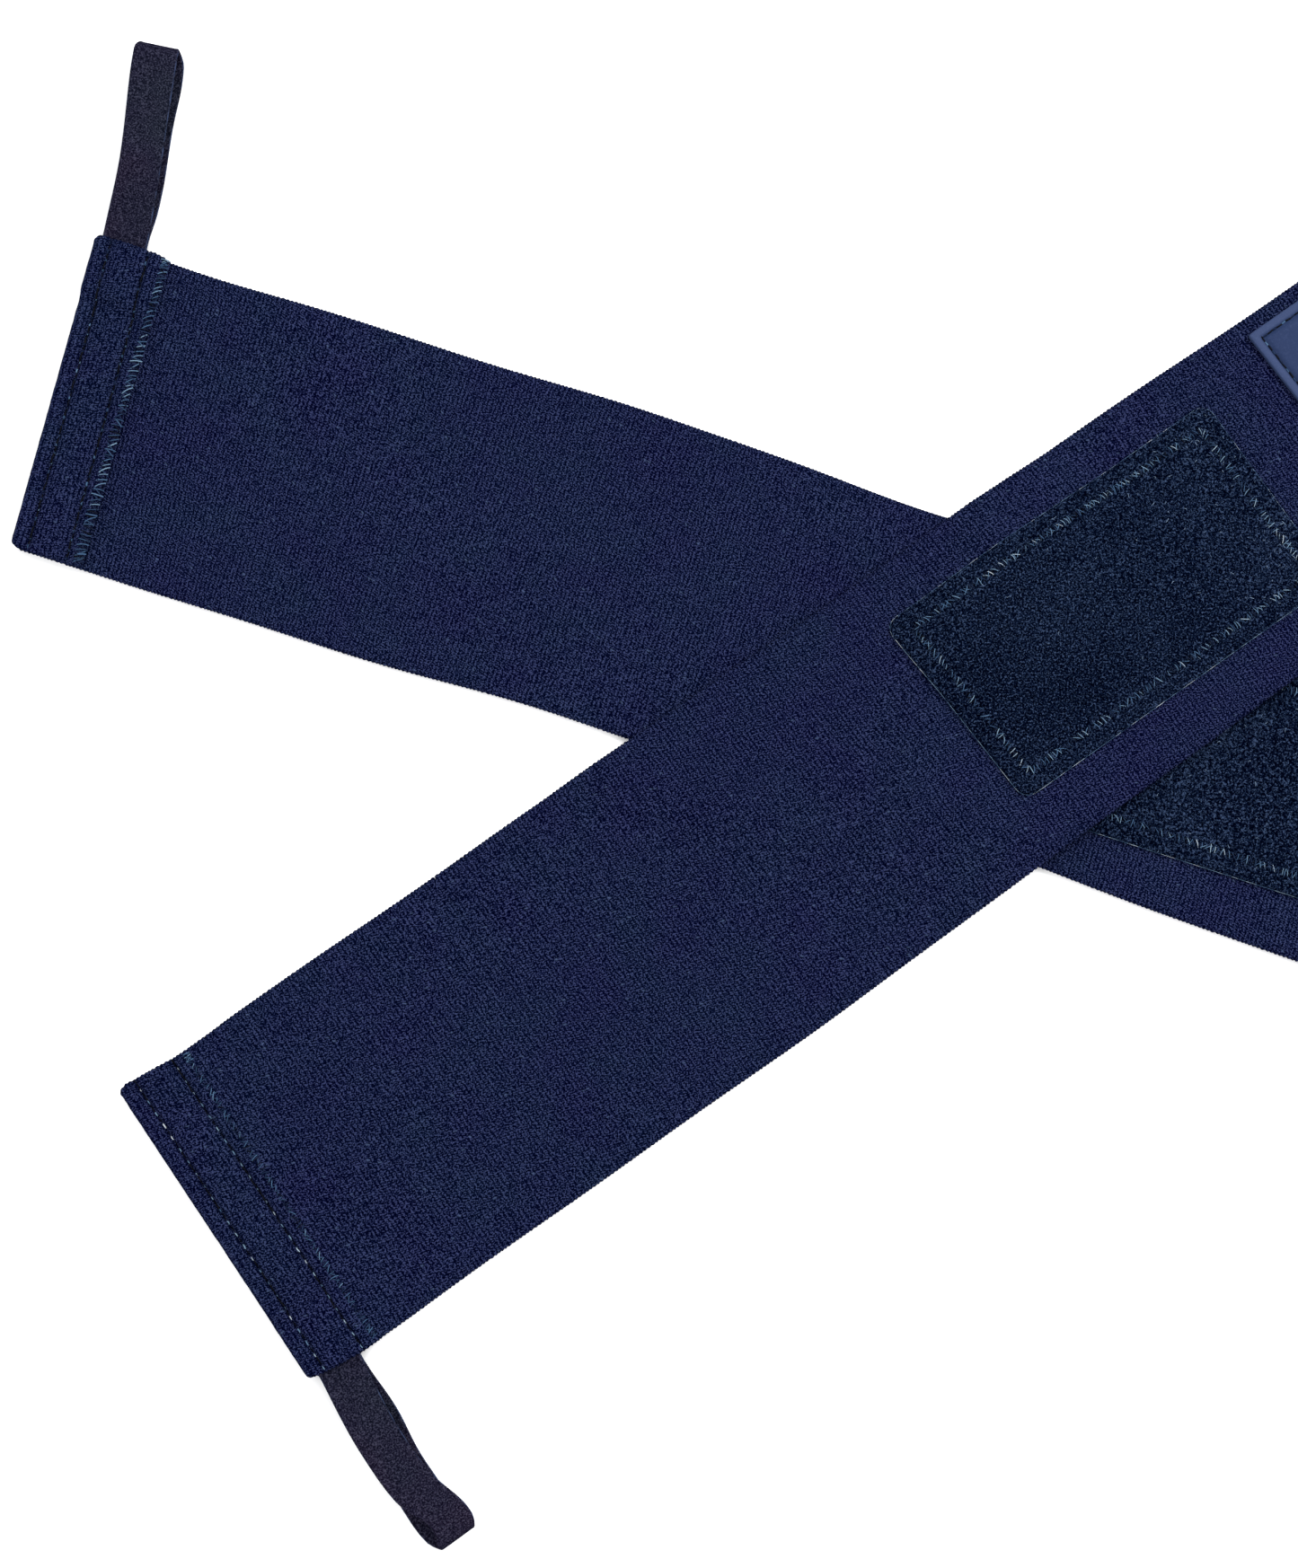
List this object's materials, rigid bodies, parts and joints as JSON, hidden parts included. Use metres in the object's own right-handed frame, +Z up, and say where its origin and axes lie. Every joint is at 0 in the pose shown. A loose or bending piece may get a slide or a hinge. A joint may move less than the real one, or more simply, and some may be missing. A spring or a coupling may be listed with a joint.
{
  "type": "hand wrap",
  "caption": "Pair of navy elastic hand wraps lying crossed, each with a thumb loop, a stitched hem, a soft loop patch, a rubber label and a hook-faced far end.",
  "frame": {"origin": "centre of the pair's box at the height of the surface it lies on", "axes": "+Z up from that surface; +X to the right, along the crossed pair's longest side, towards both far ends; +Y away from a viewer who has the hemmed ends on the left"},
  "size_m": [0.4608, 0.3644, 0.0099],
  "materials": {
    "knit": "fine-ribbed elastic knit, matt",
    "pile": "soft loop pile, matt",
    "tape": "fine woven elastic tape",
    "rubber_label": "smooth moulded rubber, satin",
    "hook_tape": "moulded nylon hooks on tape",
    "thread": "bright light-blue polyester thread"
  },
  "bodies": {
    "under_main": {"under_band_main": "knit", "under_loop_patch": "pile", "under_loop_patch_zigzag": "thread", "under_label_patch": "rubber_label", "under_label_stitch": "thread"},
    "under_mid": {"under_band_mid": "knit"},
    "under_end": {"under_band_end": "knit", "under_hem_flap": "knit", "under_thumb_loop_tail": "tape", "under_hem_stitch_row_1": "thread", "under_hem_stitch_row_2": "thread", "under_hem_zigzag": "thread"},
    "under_thumb_loop": {"under_thumb_loop": "tape"},
    "under_tab": {"under_band_tab": "knit", "under_hook_patch": "hook_tape", "under_hook_stitch": "thread", "under_far_hem_flap": "knit", "under_far_hem_stitch": "thread"},
    "over_main": {"over_band_main": "knit", "over_loop_patch": "pile", "over_loop_patch_zigzag": "thread", "over_label_patch": "rubber_label", "over_label_stitch": "thread"},
    "over_mid": {"over_band_mid": "knit"},
    "over_end": {"over_band_end": "knit", "over_hem_flap": "knit", "over_thumb_loop_tail": "tape", "over_hem_stitch_row_1": "thread", "over_hem_stitch_row_2": "thread", "over_hem_zigzag": "thread"},
    "over_thumb_loop": {"over_thumb_loop": "tape"},
    "over_tab": {"over_band_tab": "knit", "over_hook_patch": "hook_tape", "over_hook_stitch": "thread", "over_far_hem_flap": "knit", "over_far_hem_stitch": "thread"}
  },
  "joints": [
    {"name": "under_curl", "type": "hinge", "parent": "under_main", "child": "under_mid", "pos_m": [-0.1121, 0.04268, 0.002], "axis": [0.3123, 0.95, 0], "range_deg": [0, 60]},
    {"name": "under_curl_tip", "type": "hinge", "parent": "under_mid", "child": "under_end", "pos_m": [-0.16529, 0.06017, 0.002], "axis": [0.3123, 0.95, 0], "range_deg": [0, 60]},
    {"name": "under_thumb_loop_fold", "type": "hinge", "parent": "under_end", "child": "under_thumb_loop", "pos_m": [-0.19922, 0.11133, 0.0062], "axis": [0.95, -0.3123, 0], "range_deg": [0, 150]},
    {"name": "under_tab_peel", "type": "hinge", "parent": "under_main", "child": "under_tab", "pos_m": [0.1577, -0.04602, 0.002], "axis": [-0.3123, -0.95, 0], "range_deg": [0, 140]},
    {"name": "over_curl", "type": "hinge", "parent": "over_main", "child": "over_mid", "pos_m": [-0.08482, -0.05014, 0.002], "axis": [-0.5786, 0.8156, 0], "range_deg": [0, 60]},
    {"name": "over_curl_tip", "type": "hinge", "parent": "over_mid", "child": "over_end", "pos_m": [-0.1305, -0.08254, 0.002], "axis": [-0.5786, 0.8156, 0], "range_deg": [0, 60]},
    {"name": "over_thumb_loop_fold", "type": "hinge", "parent": "over_end", "child": "over_thumb_loop", "pos_m": [-0.14783, -0.14142, 0.0062], "axis": [-0.8156, -0.5786, 0], "range_deg": [0, 150]},
    {"name": "over_tab_peel", "type": "hinge", "parent": "over_main", "child": "over_tab", "pos_m": [0.14682, 0.11417, 0.002], "axis": [0.5786, -0.8156, 0], "range_deg": [0, 140]},
    {"name": "over_wrap_lift", "type": "slide", "parent": "under_main", "child": "over_main", "axis": [0, 0, 1], "range_m": [0, 0.12]}
  ],
  "couplings": [
    {"joint": "under_curl_tip", "follows": "under_curl", "ratio": 1},
    {"joint": "over_curl_tip", "follows": "over_curl", "ratio": 1}
  ]
}
